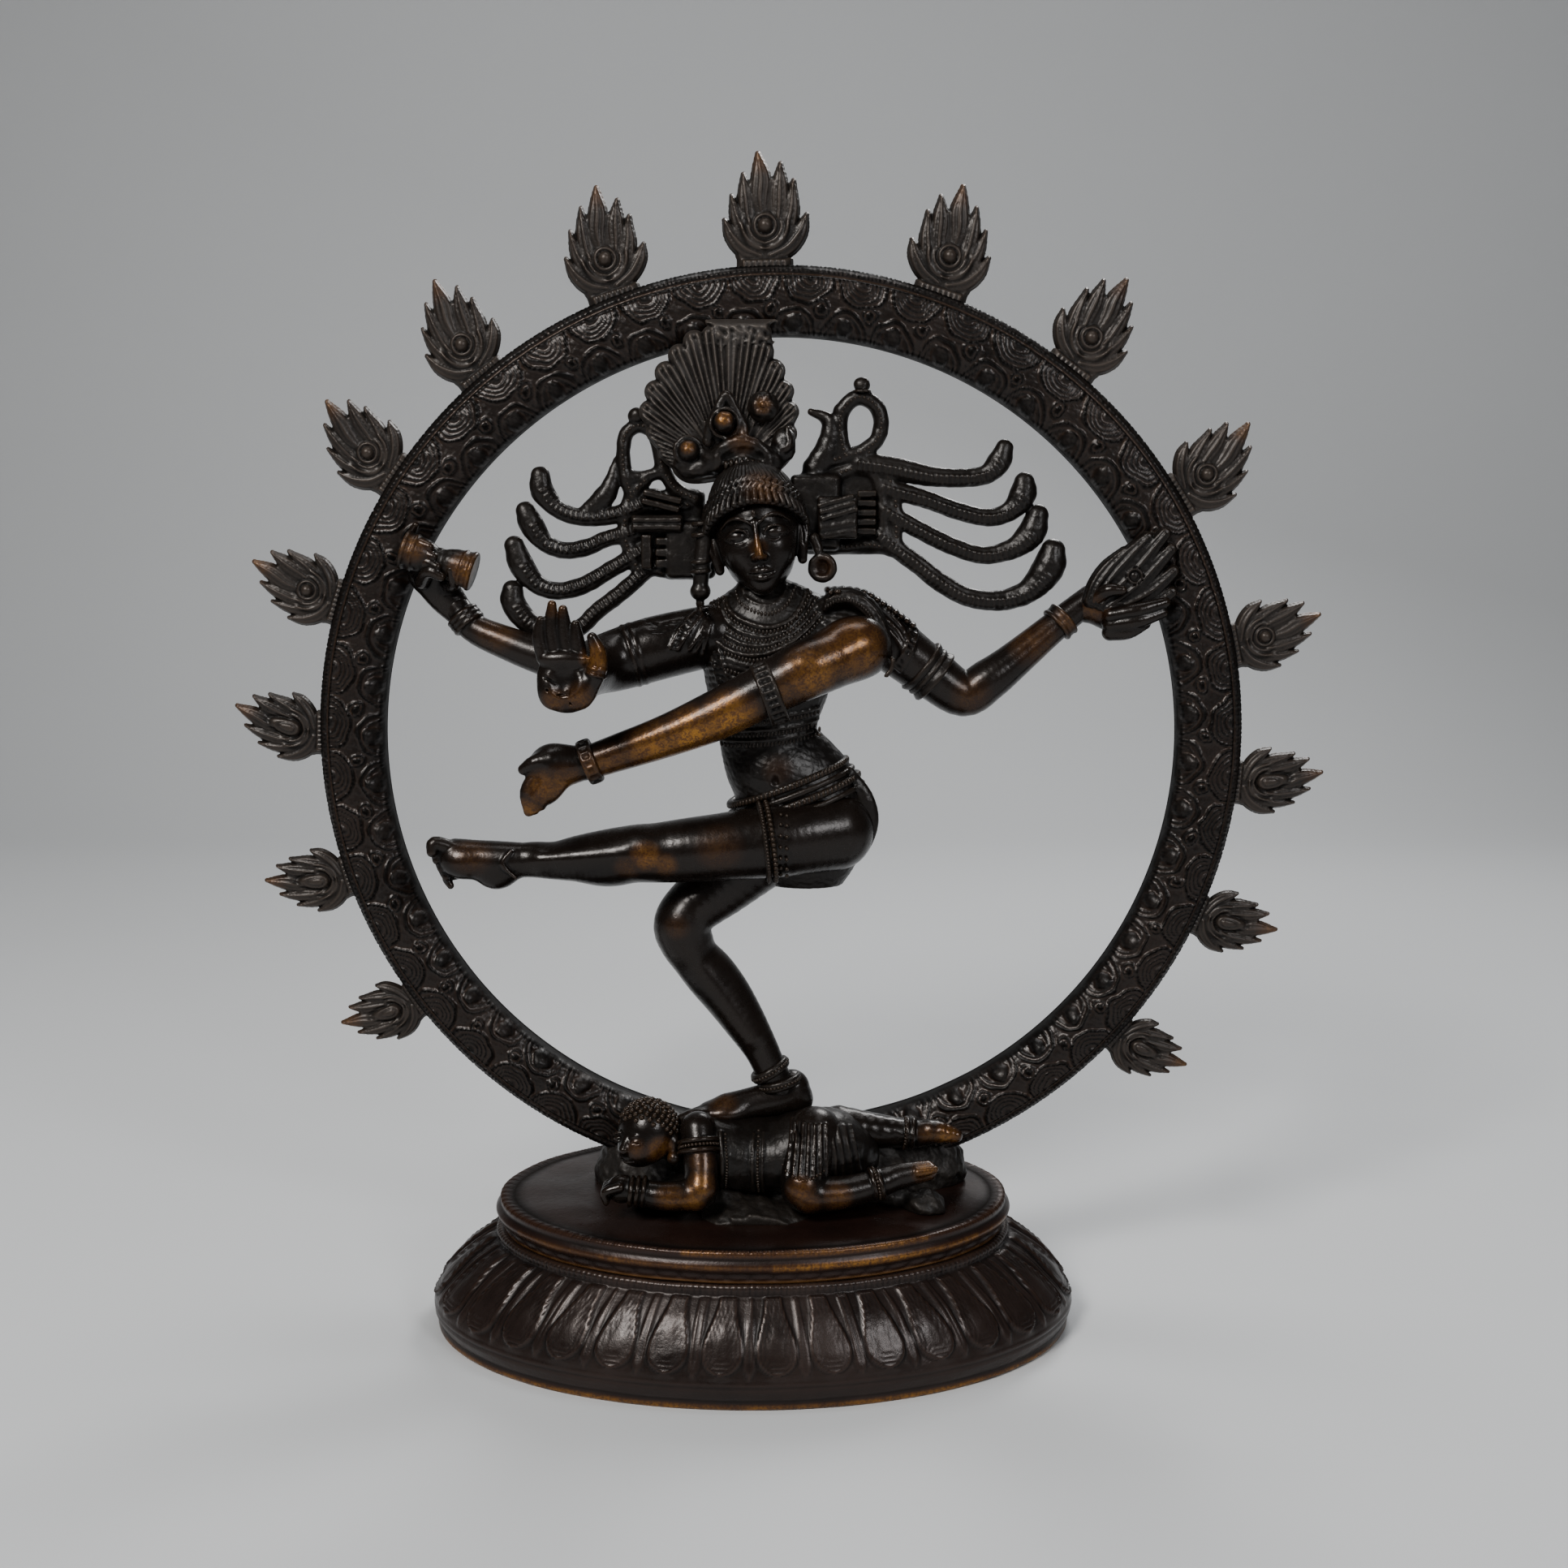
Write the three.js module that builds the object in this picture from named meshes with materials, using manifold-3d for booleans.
// A cast brass dancing figure in a ring of flames, on an oval lotus base.
// Millimetres, +Z up, the figure faces -Y, and the origin is under the middle of the statue.
import * as THREE from "three";
import { mergeVertices } from "three/addons/utils/BufferGeometryUtils.js";
import Module from "manifold-3d";

const wasm = await Module();
wasm.setup();

// ---- Driving dimensions -------------------------------------------------------------------

const GAP = 0.32; // left between two pieces that touch

const BASE_X = -10.5; // the base stands a little to the left of the ring's middle
const BASE_ROUND = 0.622; // depth of the oval base as a share of its width
const FOOT_R = 106.3; // half the width of the polished lip
const FOOT_BULGE_R = 108; // half the width of the plain band above the lip
const LIP_H = 3.8;
const BAND_TOP = 10.5; // where the petals start
const NECK_R = 85.5;
const NECK_Z = 34;
const DECK = 3; // thickness of the deck inside the base
const BASE_WALL = 4;
const TRAY_R = 84.8; // half the width of the platform
const TRAY_RIDGE_R = 86.6;
const TRAY_Z = 44.2; // the platform's bead line
const TRAY_DOME = 1.6; // rise of the platform's middle over its edge

const RING_Z = 195.1; // centre of the ring's inner circle
const RING_RISE = 1.2; // the outer circle's centre is this much higher: the band is wider at the top
const RING_IN_R = 130.8;
const RING_OUT_R = 150.5;
const RING_FRONT = 1; // y of the ring's front face
const RING_DEEP = 14;
const RING_X = -1;

const FLAME_LONG = 34;
const FLAME_THICK = 7;
const FLAME_SHRINK = 0.002; // share of its size that a flame loses for each degree from the top
const TOP_FLAME_LEAN = -1.8; // degrees from the vertical, towards +X
const LEFT_FLAMES = [20.3, 39.1, 55.4, 72.6, 89, 107.5, 125.5];
const RIGHT_FLAMES = [19.4, 37.7, 58.3, 78.1, 95.3, 112.8, 131.2];
const FLAME_BEND = 33; // degrees that a flame turns up from the ring's radius to its tip
const TOP_FLAME_BEND = 5;

const BOLT_R = 3;
const BOLT_HEAD_R = 5.5;
const BOLT_HEAD_H = 4;
const BOLT_TOP = 56;
const WASHER_R = 8;
const WASHER_H = 1.2;
const BOLT_Y = -4;
const BOLT_LEFT_X = -34;
const BOLT_RIGHT_X = 20;

// ---- Materials ----------------------------------------------------------------------------

const PATINA = { color: 0x2a211b, roughness: 0.42, metalness: 0.9 };
const WORN = { color: 0x7a5526, roughness: 0.36, metalness: 0.95 };
const RED_PATINA = { color: 0x35211a, roughness: 0.4, metalness: 0.9 };
const STEEL = { color: 0x8a8a88, roughness: 0.5, metalness: 0.9 };

// ---- Tools --------------------------------------------------------------------------------

const v3 = (point) => new THREE.Vector3(...point);

function solidOf(geometry) {
  const plain = geometry.clone();
  plain.deleteAttribute("normal");
  plain.deleteAttribute("uv");
  const merged = mergeVertices(plain, 1e-4);
  return new wasm.Manifold(
    new wasm.Mesh({
      numProp: 3,
      vertProperties: new Float32Array(merged.attributes.position.array),
      triVerts: new Uint32Array(merged.index.array),
    }),
  );
}

function geometryOf(solid) {
  const mesh = solid.getMesh();
  const geometry = new THREE.BufferGeometry();
  geometry.setAttribute("position", new THREE.BufferAttribute(mesh.vertProperties, 3));
  geometry.setIndex(new THREE.BufferAttribute(mesh.triVerts, 1));
  geometry.computeVertexNormals();
  return geometry;
}

const union = (solids) => solids.reduce((all, next) => all.add(next));

// Smooth value between the numbers of a list, at t from 0 to 1 along it.
function along(list, t) {
  const place = t * (list.length - 1);
  const i = Math.min(Math.floor(place), list.length - 2);
  return THREE.MathUtils.lerp(list[i], list[i + 1], THREE.MathUtils.smoothstep(place - i, 0, 1));
}

// A rounded, tapering limb along a smooth path, with a radius at each point of the path.
// It is a unit sphere drawn out along the path. "deep" squeezes it along the depth direction.
function limb(points, radii, { grow = 0, deep = 1, depth = [0, 1, 0], sides = 8, steps = 10 } = {}) {
  const path = new THREE.CatmullRomCurve3(points.map(v3), false, "centripetal");
  const geometry = new THREE.SphereGeometry(1, sides, steps);
  const position = geometry.attributes.position;
  const start = path.getPoint(0).addScaledVector(path.getTangent(0), -grow);
  const end = path.getPoint(1).addScaledVector(path.getTangent(1), grow);
  const spot = new THREE.Vector3();
  for (let i = 0; i < position.count; i++) {
    spot.fromBufferAttribute(position, i);
    const t = (1 - spot.y) / 2;
    const centre = path.getPoint(t);
    const forward = path.getTangent(t);
    const across = v3(depth).cross(forward).normalize();
    const back = forward.clone().cross(across).normalize();
    const radius = along(radii, t) + grow;
    const fromEnd = Math.min(centre.distanceTo(start), centre.distanceTo(end));
    const left = Math.max(0, 1 - fromEnd / radius);
    const round = spot.y > 1 - 1e-9 || spot.y < -1 + 1e-9 ? 0 : Math.sqrt(Math.max(0, 1 - left * left));
    const turn = Math.hypot(spot.x, spot.z) || 1;
    if (spot.y > 1 - 1e-9) centre.copy(start);
    if (spot.y < -1 + 1e-9) centre.copy(end);
    centre.addScaledVector(across, (spot.x / turn) * radius * round);
    centre.addScaledVector(back, (spot.z / turn) * radius * round * deep);
    position.setXYZ(i, centre.x, centre.y, centre.z);
  }
  return solidOf(geometry);
}

// A ball squeezed to three half-sizes, tilted about the Y axis.
function blob(centre, half, { grow = 0, tilt = 0, sides = 10, steps = 8 } = {}) {
  const geometry = new THREE.SphereGeometry(1, sides, steps);
  geometry.scale(half[0] + grow, half[1] + grow, half[2] + grow);
  geometry.rotateY(THREE.MathUtils.degToRad(tilt));
  geometry.translate(...centre);
  return solidOf(geometry);
}

function block(centre, size, { grow = 0, tilt = 0 } = {}) {
  const geometry = new THREE.BoxGeometry(...size.map((s) => s + 2 * grow));
  geometry.rotateY(THREE.MathUtils.degToRad(tilt));
  geometry.translate(...centre);
  return solidOf(geometry);
}

// A round rod from one point to another.
function rod(from, to, radius, { grow = 0, sides = 12 } = {}) {
  const axis = v3(to).sub(v3(from));
  const geometry = new THREE.CylinderGeometry(radius + grow, radius + grow, axis.length() + 2 * grow, sides);
  const turn = new THREE.Quaternion().setFromUnitVectors(new THREE.Vector3(0, 1, 0), axis.clone().normalize());
  geometry.applyQuaternion(turn);
  geometry.translate(...v3(from).addScaledVector(axis, 0.5));
  return solidOf(geometry);
}

// A band round a limb: a fat, short rod with a hole that the limb fills.
function band(at, towards, radius, length, { grow = 0, deep = 1 } = {}) {
  const axis = v3(towards).normalize();
  const geometry = new THREE.CylinderGeometry(radius + grow, radius + grow, length + 2 * grow, 14);
  geometry.scale(1, 1, deep);
  const across = new THREE.Vector3(0, 1, 0).cross(axis).normalize();
  const turn = new THREE.Matrix4().makeBasis(across, axis, across.clone().cross(axis));
  geometry.applyMatrix4(turn);
  geometry.translate(...at);
  return solidOf(geometry);
}

// A flat outline in the XZ plane, given thickness from y = front backwards.
function plate(shape, front, thick, { bevel = 0, curveSegments = 12 } = {}) {
  const geometry = new THREE.ExtrudeGeometry(shape, {
    depth: thick - 2 * bevel,
    bevelEnabled: bevel > 0,
    bevelSize: bevel,
    bevelOffset: -bevel,
    bevelThickness: bevel,
    bevelSegments: 1,
    curveSegments,
  });
  geometry.rotateX(Math.PI / 2); // the outline's own y becomes z, and its depth runs towards -y
  geometry.translate(0, front + thick - bevel, 0);
  return solidOf(geometry);
}

const outline = (points) => new THREE.Shape(points.map(([x, z]) => new THREE.Vector2(x, z)));

// A solid turned about the vertical axis of the base, and squeezed to its oval.
function ovalTurned(profile, segments = 36) {
  const geometry = new THREE.LatheGeometry(profile.map(([r, z]) => new THREE.Vector2(r, z)), segments);
  geometry.rotateX(Math.PI / 2);
  geometry.scale(1, BASE_ROUND, 1);
  geometry.translate(BASE_X, 0, 0);
  return solidOf(geometry);
}

// ---- The pieces ---------------------------------------------------------------------------

// name -> { make(grow), look, clears }: "clears" names the pieces that this one is cut back from.
const pieces = new Map();
const piece = (name, look, make, clears = []) => pieces.set(name, { make, look, clears });

// The base: a hollow oval skirt with a deck, the tray on it, and two bolts up into the mound.
function lotusBase() {
  const inner = (r) => r - BASE_WALL;
  return ovalTurned([
    [0, NECK_Z - DECK],
    [inner(NECK_R) - 4, NECK_Z - DECK],
    [inner(94), 21],
    [inner(FOOT_BULGE_R) - 2, BAND_TOP],
    [inner(FOOT_R), 0],
    [FOOT_R, 0],
    [FOOT_R, LIP_H],
    [FOOT_BULGE_R, 7],
    [FOOT_BULGE_R - 1, BAND_TOP],
    [104.6, 15],
    [100.5, 20],
    [95, 25],
    [88.2, 29.4],
    [NECK_R, 31.5],
    [NECK_R, NECK_Z],
    [0, NECK_Z],
  ]);
}

function tray(grow) {
  return ovalTurned([
    [0, NECK_Z + GAP - grow],
    [NECK_R + grow, NECK_Z + GAP - grow],
    [TRAY_RIDGE_R - 1.6 + grow, 38.2],
    [TRAY_RIDGE_R + grow, 40],
    [TRAY_R - 0.5 + grow, 41.6],
    [TRAY_R + grow, TRAY_Z - 0.6],
    [TRAY_R - 1.2 + grow, TRAY_Z + grow],
    [TRAY_R - 12, TRAY_Z + 0.6 * TRAY_DOME + grow],
    [0, TRAY_Z + TRAY_DOME + grow],
  ]);
}

function bolt(x, grow = 0) {
  const headTop = NECK_Z - DECK - WASHER_H - 2 * GAP;
  const shank = rod([x, BOLT_Y, headTop - 1], [x, BOLT_Y, BOLT_TOP], BOLT_R, { grow });
  const hexHead = rod([x, BOLT_Y, headTop - BOLT_HEAD_H], [x, BOLT_Y, headTop], BOLT_HEAD_R, { grow, sides: 6 });
  return shank.add(hexHead);
}

function washer(x, grow = 0) {
  const top = NECK_Z - DECK - GAP;
  return rod([x, BOLT_Y, top - WASHER_H], [x, BOLT_Y, top], WASHER_R, { grow, sides: 20 });
}

piece("base_bolt_left", STEEL, (grow) => bolt(BOLT_LEFT_X, grow));
piece("base_bolt_right", STEEL, (grow) => bolt(BOLT_RIGHT_X, grow));
piece("base_washer_left", STEEL, (grow) => washer(BOLT_LEFT_X, grow), ["base_bolt_left"]);
piece("base_washer_right", STEEL, (grow) => washer(BOLT_RIGHT_X, grow), ["base_bolt_right"]);
const BOLTS = ["base_bolt_left", "base_bolt_right"];
piece("lotus_base", PATINA, lotusBase, BOLTS);
piece("platform", RED_PATINA, tray, BOLTS);

// The ring: two circles, the outer one a little higher, with rounded edges.
function circle(z, radius, PathType) {
  return new PathType().absarc(RING_X, z, radius, 0, 2 * Math.PI);
}

function ring(grow) {
  const shape = circle(RING_Z + RING_RISE, RING_OUT_R + grow, THREE.Shape);
  shape.holes.push(circle(RING_Z, RING_IN_R - grow, THREE.Path));
  return plate(shape, RING_FRONT - grow, RING_DEEP + 2 * grow, { bevel: 2.6, curveSegments: 34 });
}

piece("flame_ring", PATINA, ring, ["platform"]);

// One side of a flame's edge, from root to tip: [share of its length, share of its half width].
const FLAME_EDGE = [
  [-0.15, 0.7],
  [0.08, 0.72],
  [0.24, 0.93],
  [0.41, 1.0],
  [0.45, 0.8],
  [0.63, 0.8],
  [0.63, 0.63],
  [0.81, 0.56],
  [0.8, 0.34],
];
const FLAME_HALF_WIDTH = 13;

// A flame stands on the ring's radius and bends up towards the vertical.
// "lean" is the radius's angle from the vertical and "bend" what the tip turns back, both towards -X.
function flame(lean, bend) {
  const size = 1 - FLAME_SHRINK * Math.abs(lean);
  const long = FLAME_LONG * size;
  const startAngle = THREE.MathUtils.degToRad(lean);
  const turn = THREE.MathUtils.degToRad(bend);
  const place = ([share, side]) => {
    const angle = startAngle - turn * Math.max(0, share);
    const middle = startAngle - (turn * Math.max(0, share)) / 2;
    const out = RING_OUT_R;
    const x = -Math.sin(startAngle) * out - Math.sin(middle) * long * share;
    const z = Math.cos(startAngle) * out + Math.cos(middle) * long * share;
    const wide = side * FLAME_HALF_WIDTH * size;
    return [RING_X + x + Math.cos(angle) * wide, RING_Z + RING_RISE + z + Math.sin(angle) * wide];
  };
  const right = FLAME_EDGE.map(place);
  const left = FLAME_EDGE.map(([share, side]) => place([share, -side])).reverse();
  const front = RING_FRONT + (RING_DEEP - FLAME_THICK) / 2 - 1;
  return plate(outline([...right, place([1, 0]), ...left]), front, FLAME_THICK);
}

piece("flame_top", PATINA, () => flame(-TOP_FLAME_LEAN, TOP_FLAME_BEND), ["flame_ring"]);
LEFT_FLAMES.forEach((lean, i) =>
  piece(`flame_left_${i + 1}`, PATINA, () => flame(lean, FLAME_BEND), ["flame_ring"]),
);
RIGHT_FLAMES.forEach((lean, i) =>
  piece(`flame_right_${i + 1}`, PATINA, () => flame(-lean, -FLAME_BEND), ["flame_ring"]),
);

// The dwarf lies on rough ground, his head towards -X.
function mound(grow) {
  const ground = TRAY_Z + TRAY_DOME;
  const hump = blob([-4, 3, ground - 2], [58, 25, 19], { grow, sides: 14, steps: 9 });
  const leftShoulder = blob([-52, 8, ground + 2], [14, 10, 13], { grow });
  const rightShoulder = blob([46, 8, ground + 3], [17, 10, 13], { grow });
  const slab = block([-9.3, -27, ground + 1], [32, 20, 6], { grow });
  const aboveTray = block([0, 0, ground + 50], [200, 120, 104]);
  return union([hump, leftShoulder, rightShoulder, slab]).intersect(aboveTray);
}

const DWARF_TRUNK = [[-36, -12, 66], [-20, -15, 62], [-4, -15, 61], [10, -14, 64], [22, -12, 60]];

piece("dwarf_mound", PATINA, mound, ["platform", "flame_ring", ...BOLTS]);
piece(
  "dwarf_body",
  PATINA,
  (grow) => limb(DWARF_TRUNK, [7, 11, 11, 13, 9], { grow, deep: 1.15 }),
  ["dwarf_mound"],
);
piece(
  "dwarf_head",
  PATINA,
  (grow) => blob([-44, -19, 71.5], [9.5, 10, 10.5], { grow }),
  ["dwarf_mound", "dwarf_body"],
);
piece(
  "dwarf_arm",
  WORN,
  (grow) => limb([[-27.7, -23, 72], [-26, -31, 56], [-38, -33, 55.5], [-49, -32, 57]], [5.4, 5.4, 4.4, 4], { grow }),
  ["dwarf_mound", "dwarf_body", "dwarf_head", "platform"],
);
piece(
  "dwarf_near_leg",
  WORN,
  (grow) => limb([[9, -20, 70], [4.5, -31, 54.5], [20, -29, 54], [42, -24, 61]], [8.5, 6.4, 5, 3.6], { grow }),
  ["dwarf_mound", "dwarf_body", "platform"],
);
piece(
  "dwarf_far_leg",
  PATINA,
  (grow) => limb([[20, -8, 68], [36, -7, 66], [54, -6, 65.5]], [5.6, 4.4, 2.8], { grow }),
  ["dwarf_mound", "dwarf_body", "dwarf_near_leg", "flame_ring"],
);

// The dancer. The trunk leans and twists, and is flatter than it is wide.
const TRUNK = [
  [7, -4, 160],
  [6, -5, 174],
  [1.5, -5, 186],
  [-5, -6, 198],
  [-5.2, -6, 212],
  [-4.8, -5, 225],
  [-4.2, -4, 235],
  [-6, -4, 249],
];
const TRUNK_R = [14, 21, 17.6, 15.2, 17.6, 23, 22.5, 6.5];
const TRUNK_DEEP = 0.62;

piece("torso", PATINA, (grow) => limb(TRUNK, TRUNK_R, { grow, deep: TRUNK_DEEP, sides: 12, steps: 14 }));
piece(
  "hip_belt",
  PATINA,
  (grow) =>
    union([
      band([3, -5, 180], [-0.36, 0, 0.93], 22.4, 4.4, { grow, deep: 0.66 }),
      limb([[22, -9, 185], [25, -9.5, 178], [25.5, -9, 168]], [2.4, 3.4, 2.6], { grow }),
    ]),
  ["torso"],
);

// Head, hair and crown.
const HEAD_AT = [-8.5, -6, 263.4];
const HEAD_HALF = [14, 14.5, 20];
const HEAD_TILT = -8;
const HAIR_THICK = 2.6;

piece("head", PATINA, (grow) => blob(HEAD_AT, HEAD_HALF, { grow, tilt: HEAD_TILT }), ["torso"]);
piece(
  "hair_cap",
  PATINA,
  (grow) => {
    const cap = blob(HEAD_AT, HEAD_HALF, { grow: grow + HAIR_THICK, tilt: HEAD_TILT, sides: 12, steps: 10 });
    const below = block([HEAD_AT[0], -16, HEAD_AT[2] - 18], [60, 28, 60 - 2 * grow], { tilt: HEAD_TILT });
    const under = block([HEAD_AT[0], 0, HEAD_AT[2] - 38], [60, 60, 60 - 2 * grow], { tilt: HEAD_TILT });
    return cap.subtract(below).subtract(under);
  },
  ["head", "torso"],
);

const FAN_EDGE = [
  [-32, 284],
  [-38, 292],
  [-43, 302],
  [-40, 310],
  [-36, 317],
  [-31, 323],
  [-21, 326],
  [-11, 325],
  [-4, 318],
  [1.5, 310],
  [4, 302],
  [2, 294],
  [0, 284],
];
const FAN_FRONT = -2.5;
const FAN_THICK = 6.5;

piece(
  "crest_fan",
  PATINA,
  (grow) => plate(outline(FAN_EDGE), FAN_FRONT - grow, FAN_THICK + 2 * grow),
  ["hair_cap", "head", "flame_ring"],
);
piece(
  "crest_boss",
  WORN,
  (grow) =>
    union([
      limb([[-13, -6, 288], [-17, -7, 293], [-19, -6, 300]], [7, 6, 4], { grow, deep: 0.7 }),
      blob([-30, -4, 289], [4, 4, 4], { grow, sides: 8, steps: 6 }),
      limb([[-13, -5, 287], [-22, -4, 288], [-30, -3, 289]], [3.4, 3, 3], { grow, sides: 8, steps: 6 }),
    ]),
  ["hair_cap", "crest_fan", "head"],
);

// Flying hair: strands curl up at their ends, and spring from a beaded column beside the head.
const HAIR_Y = 4;
const STRAND_R = 2.5;
const STRAND_TIP_R = 1.2;

function strands(paths, grow) {
  return paths.map((path) =>
    limb(
      path.map(([x, z]) => [x, HAIR_Y, z]),
      path.map((_, i) => (i === path.length - 1 ? STRAND_TIP_R : STRAND_R)),
      { grow, sides: 5, steps: 9 },
    ),
  );
}

const LEFT_STRANDS = [
  [[-38, 272], [-51, 277], [-65.4, 269.4], [-77, 271], [-78.5, 277], [-76, 285]],
  [[-40, 263], [-52, 261], [-69.5, 258.3], [-81, 259.5], [-84, 264], [-83, 272]],
  [[-40, 257], [-52, 254], [-73, 245.5], [-84, 249.5], [-87, 254], [-86, 262]],
  [[-40, 253], [-52, 248], [-72, 233.5], [-85, 236.5], [-88, 240], [-87, 247]],
  [[-40, 262], [-45, 277], [-50.5, 288], [-50, 297], [-45, 301.5], [-39.5, 296], [-38, 286]],
];
const RIGHT_STRANDS = [
  [[24, 283], [36, 285], [53, 283], [66, 281.5], [70, 284], [70, 292]],
  [[26, 277], [38, 278], [58, 271.7], [73, 272], [77.5, 275], [77, 282]],
  [[26, 270], [40, 268.5], [60, 261.4], [76, 260], [82, 264], [82, 272]],
  [[26, 264], [37, 258], [64, 243.2], [80, 246], [86.5, 253], [87, 263]],
  [[13, 275], [17, 289], [14, 296], [9, 302]],
  [[20, 275], [17.5, 297], [20, 306], [26, 308.5], [31, 302], [28.5, 292], [22, 284]],
];

piece(
  "hair_wing_left",
  PATINA,
  (grow) =>
    union([
      ...strands(LEFT_STRANDS, grow),
      block([-37, 2, 263], [26, 8, 20], { grow }),
      limb([[-47, HAIR_Y, 250], [-47, HAIR_Y, 280]], [3.4, 3.4], { grow, sides: 8, steps: 6 }),
    ]),
  ["head", "hair_cap", "crest_fan", "torso"],
);
piece(
  "hair_wing_right",
  PATINA,
  (grow) =>
    union([
      ...strands(RIGHT_STRANDS, grow),
      block([16, 2, 269], [26, 8, 17], { grow }),
      limb([[31, HAIR_Y, 258], [29, HAIR_Y, 272], [22, HAIR_Y, 285]], [3.4, 3.6, 3], { grow, sides: 8, steps: 8 }),
    ]),
  ["head", "hair_cap", "crest_fan", "torso"],
);
piece(
  "ear_pendant",
  PATINA,
  (grow) => limb([[-24, -4, 267], [-26, -4, 256], [-26.5, -4, 244]], [3, 3, 3.4], { grow, sides: 8 }),
  ["head", "hair_cap", "hair_wing_left", "torso"],
);
piece(
  "ear_ring",
  PATINA,
  (grow) => limb([[8, -4, 260], [11.5, -4, 254.5], [13.5, -4, 249]], [3, 4, 3.2], { grow, deep: 0.8, sides: 8 }),
  ["head", "hair_cap", "hair_wing_right", "torso"],
);

// Arms. Each limb path runs from the shoulder outwards.
piece(
  "drum_arm",
  PATINA,
  (grow) =>
    limb(
      [[-24, 0, 232], [-42, -1, 227], [-59, -2, 222], [-74, -1, 223], [-91, 2, 229], [-109, 4, 241]],
      [8, 7, 6.4, 6.1, 5.4, 4.4],
      { grow },
    ),
  ["torso", "hair_wing_left"],
);
piece(
  "drum_hand",
  PATINA,
  (grow) => limb([[-106, 4, 240], [-112, 4, 247], [-116, 4, 256]], [4.6, 6.5, 5], { grow, deep: 0.7 }),
  ["drum_arm", "flame_ring"],
);
piece(
  "drum",
  WORN,
  (grow) =>
    union([
      rod([-100, -5, 252], [-107, -5, 254.5], 6.6, { grow }),
      rod([-100, -5, 252], [-119, -5, 258], 3.8, { grow }),
      rod([-113, -5, 256], [-119.5, -5, 258.2], 6.6, { grow }),
    ]),
  ["drum_hand", "drum_arm", "flame_ring"],
);
piece(
  "blessing_arm",
  PATINA,
  (grow) =>
    limb(
      [[-24, -7, 231], [-42, -9, 227], [-56, -14, 223.5], [-61, -28, 221], [-64, -41, 219.5]],
      [9.5, 9.8, 9, 6.8, 5.4],
      { grow, depth: [0, 0, 1] },
    ),
  ["torso", "drum_arm"],
);
piece(
  "blessing_hand",
  PATINA,
  (grow) =>
    union([
      limb([[-65, -44, 212.5], [-64.5, -45, 223], [-67.5, -46, 242.5]], [6, 9, 4.5], { grow, deep: 0.5 }),
      limb([[-60, -45, 220], [-56, -46, 226], [-54.5, -46, 233]], [3, 3, 2.2], { grow, sides: 6, steps: 6 }),
    ]),
  ["blessing_arm"],
);

const CROSSING_PATH = [[24, -16, 228], [8, -24, 222.5], [-14, -27, 211.3], [-37, -27, 201.4], [-60, -26, 193.2]];
const CROSSING_R = [9.6, 9.3, 8, 6.6, 5.4];
const CROSSING_WAY = [-0.93, -0.1, -0.36];

piece("crossing_arm", WORN, (grow) => limb(CROSSING_PATH, CROSSING_R, { grow, steps: 12 }), ["torso"]);
piece(
  "crossing_armlet",
  PATINA,
  (grow) => band([-4.5, -26, 215.6], CROSSING_WAY, 10.6, 4, { grow }),
  ["crossing_arm", "torso"],
);
piece(
  "crossing_bangle",
  PATINA,
  (grow) => band([-58.5, -26, 193.8], CROSSING_WAY, 7.4, 4, { grow }),
  ["crossing_arm"],
);
piece(
  "crossing_hand",
  WORN,
  (grow) =>
    limb([[-61, -26, 192.8], [-71, -26, 192], [-77, -26, 187], [-80, -26, 179]], [4.6, 6.4, 5, 2.6], {
      grow,
      deep: 0.75,
    }),
  ["crossing_arm", "crossing_bangle"],
);

const FIRE_PATH = [[22, -1, 236], [36, -1, 227.5], [49, 0, 217.5], [59, 0, 211.5], [74, 1, 222], [98, 4, 242]];

piece("fire_arm", PATINA, (grow) => limb(FIRE_PATH, [8.5, 8.5, 8, 7, 6, 4.3], { grow, steps: 12 }), [
  "torso",
  "crossing_arm",
  "hair_wing_right",
]);
piece("fire_armlet", PATINA, (grow) => band([46.5, 0, 219.6], [0.77, 0.05, -0.64], 9.8, 5, { grow }), ["fire_arm"]);
piece("fire_bangle", PATINA, (grow) => band([89, 3, 234.2], [0.74, 0.1, 0.66], 6.6, 4, { grow }), ["fire_arm"]);
piece(
  "fire_hand",
  PATINA,
  (grow) => limb([[97, 4, 241], [105, 3, 241], [114, 2, 238], [122, 1, 234]], [4.6, 8, 7, 4], { grow, deep: 0.6 }),
  ["fire_arm", "fire_bangle", "flame_ring"],
);
piece(
  "hand_flame",
  PATINA,
  (grow) =>
    plate(
      outline([[107, 241], [103, 252], [108, 261], [111, 266], [117, 262], [122, 256], [124, 247], [121, 241]]),
      -3 - grow,
      4 + 2 * grow,
    ),
  ["fire_hand", "fire_arm", "flame_ring"],
);

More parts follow.
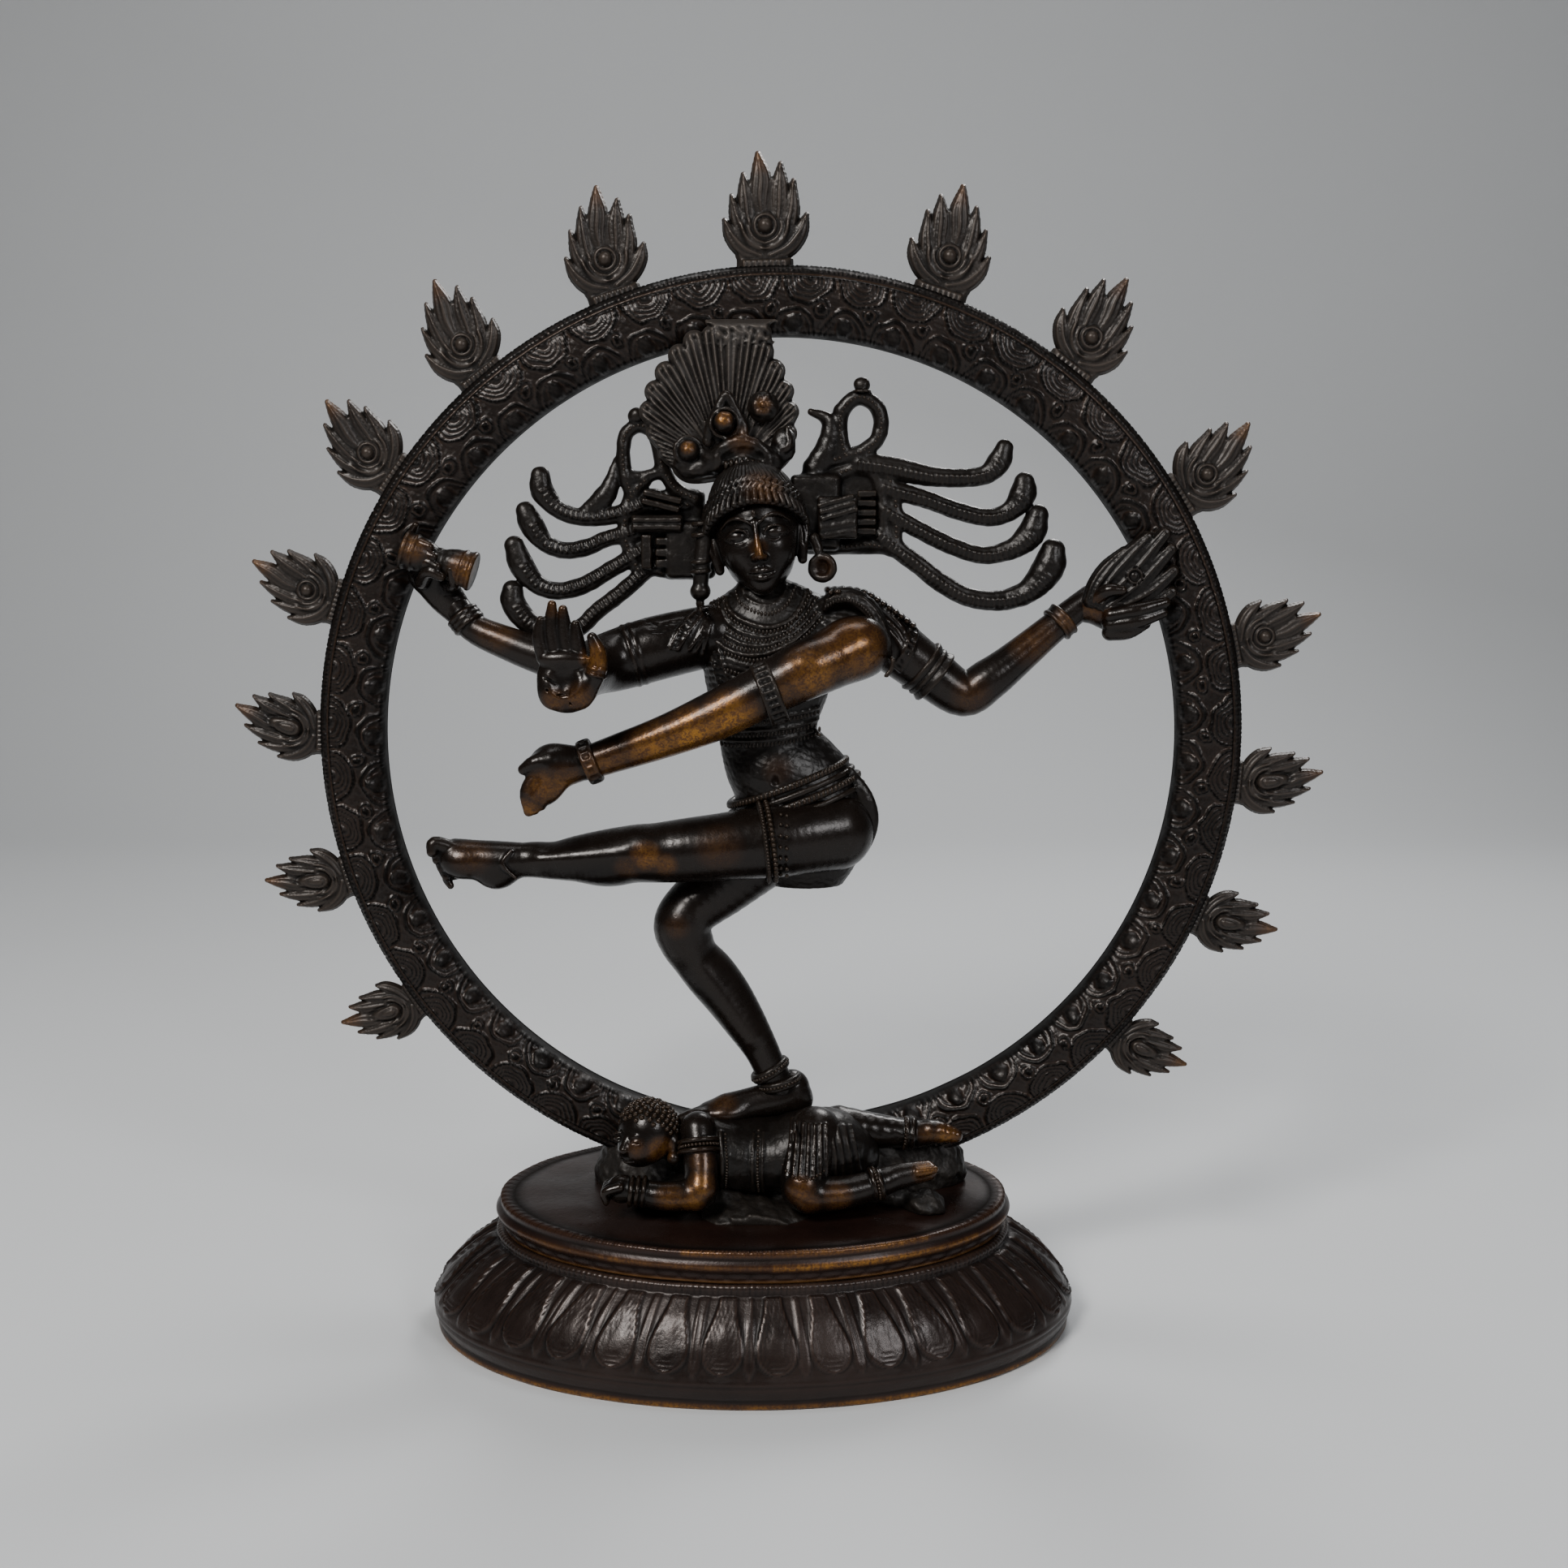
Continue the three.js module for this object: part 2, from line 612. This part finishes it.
// Legs.
piece(
  "standing_leg",
  PATINA,
  (grow) =>
    limb(
      [[-1, -2, 168], [-14, -5, 156], [-32.5, -9, 138.5], [-24.5, -7, 121], [-13, -7, 105], [-3, -8, 86]],
      [12.5, 11, 9.3, 8.3, 7, 5.2],
      { grow, steps: 14 },
    ),
  ["torso"],
);
piece(
  "standing_anklet",
  PATINA,
  (grow) => band([-3.5, -8, 87], [-0.52, 0.03, 0.86], 7.2, 3.4, { grow }),
  ["standing_leg"],
);
piece(
  "standing_foot",
  PATINA,
  (grow) => limb([[4, -6, 81], [-4, -8, 79], [-14, -10, 76.5], [-27, -13, 75.5]], [6.4, 6.4, 5, 3], { grow }),
  ["standing_leg", "standing_anklet", "dwarf_body", "dwarf_head", "dwarf_mound", "dwarf_arm"],
);
piece(
  "raised_leg",
  PATINA,
  (grow) =>
    limb(
      [[14, -12, 168], [-3, -17, 166.8], [-22, -20, 165], [-43, -20, 163.6], [-64, -20, 161.7], [-86, -20, 160.8]],
      [12.5, 11.8, 10.6, 9.4, 7.4, 5],
      { grow, steps: 13 },
    ),
  ["torso", "standing_leg", "hip_belt"],
);
piece(
  "raised_garter",
  PATINA,
  (grow) => band([-2, -17, 166.4], [-1, -0.12, -0.1], 13, 4, { grow }),
  ["raised_leg", "torso", "standing_leg", "hip_belt"],
);
piece(
  "raised_foot",
  PATINA,
  (grow) => limb([[-84, -20, 160], [-94, -20, 160], [-101, -20, 161], [-110, -20, 165]], [5.4, 7.4, 6, 3.4], { grow }),
  ["raised_leg"],
);

// ---- The scene ----------------------------------------------------------------------------

const statue = new THREE.Group();
for (const [name, { make, look, clears }] of pieces) {
  const others = clears.map((other) => pieces.get(other).make(GAP));
  const solid = others.reduce((left, other) => left.subtract(other), make(0));
  const mesh = new THREE.Mesh(geometryOf(solid), new THREE.MeshStandardMaterial(look));
  mesh.name = name;
  statue.add(mesh);
}

// The origin goes under the middle of the whole statue.
const bounds = new THREE.Box3().setFromObject(statue);
const middle = bounds.getCenter(new THREE.Vector3());
statue.position.set(-middle.x, -middle.y, -bounds.min.z);

export default statue;
